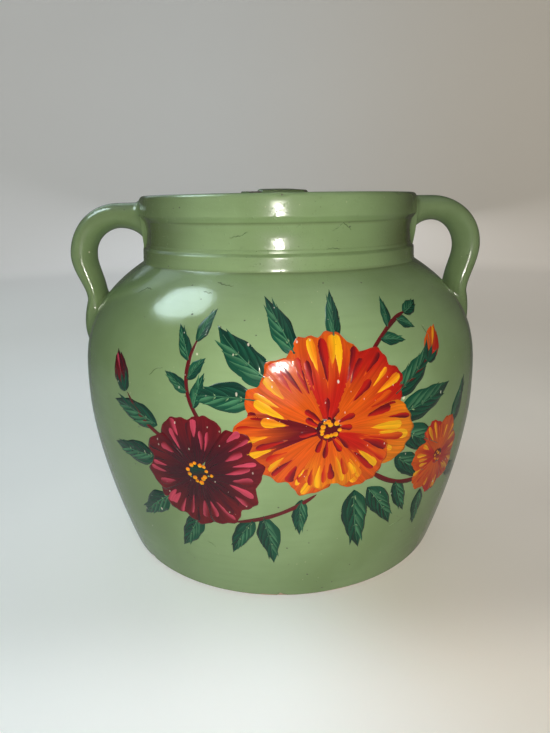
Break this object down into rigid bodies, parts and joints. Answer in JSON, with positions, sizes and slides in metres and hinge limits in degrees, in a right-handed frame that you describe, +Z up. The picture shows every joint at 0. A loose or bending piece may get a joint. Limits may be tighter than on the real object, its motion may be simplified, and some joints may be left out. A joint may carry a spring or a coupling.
{
  "type": "cookie jar",
  "caption": "Round stoneware cookie jar with loop handles, a stepped neck and a sunken lid that lifts out by a low knob to store biscuits.",
  "frame": {"origin": "on the table under the middle of the foot", "axes": "+Z up along the axis of the jar, +X through the right handle, so that the painted front faces -Y"},
  "size_m": [0.2132, 0.2, 0.1753],
  "materials": {
    "pot_paint": "glossy sage green paint over stoneware, worn at the edges, with painted flowers on the front",
    "lid_paint": "glossy sage green paint over stoneware, chipped at the edge of the knob"
  },
  "bodies": {
    "pot": {"jar_body": "pot_paint", "left_handle": "pot_paint", "right_handle": "pot_paint"},
    "lid": {"lid": "lid_paint", "lid_knob": "lid_paint"}
  },
  "joints": [
    {"name": "lid_lift", "type": "slide", "parent": "pot", "child": "lid", "axis": [0, 0, 1], "range_m": [0, 0.12]}
  ]
}
